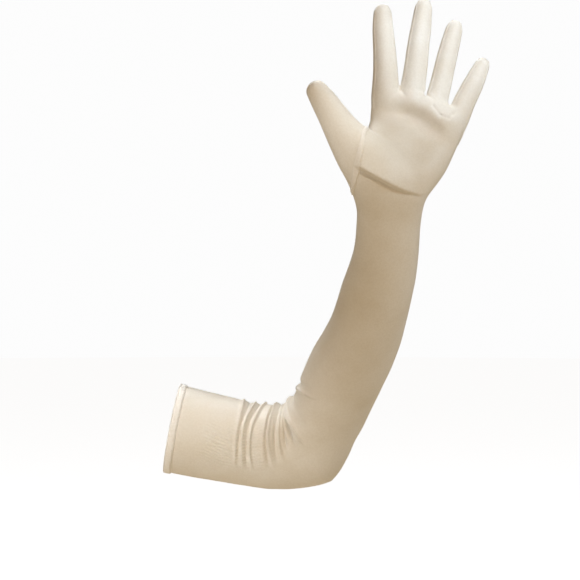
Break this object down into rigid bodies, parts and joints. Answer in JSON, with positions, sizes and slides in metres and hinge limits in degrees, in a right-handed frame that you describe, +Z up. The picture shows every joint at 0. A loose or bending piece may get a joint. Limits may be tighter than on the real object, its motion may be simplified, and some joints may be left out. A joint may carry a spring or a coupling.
{
  "type": "long satin glove",
  "caption": "Elbow-length ivory satin dress glove for the left arm, held in its worn form: bent sleeve with gathered folds, narrow hem, set-in thumb and open hand.",
  "frame": {"origin": "centre of the arm opening, on the hem's outer edge", "axes": "+X from the arm opening towards the elbow, +Z up towards the fingertips, -Y is the side the palm faces"},
  "size_m": [0.2802, 0.1656, 0.4223],
  "materials": {
    "satin": "ivory stretch satin with a soft sheen",
    "hem": "ivory satin, turned and stitched hem"
  },
  "bodies": {
    "root": {"hem_band": "hem", "upper_sleeve": "satin", "elbow_sleeve": "satin", "forearm_sleeve": "satin", "hand": "satin", "thumb": "satin", "index_finger": "satin", "middle_finger": "satin", "ring_finger": "satin", "little_finger": "satin"}
  },
  "joints": []
}
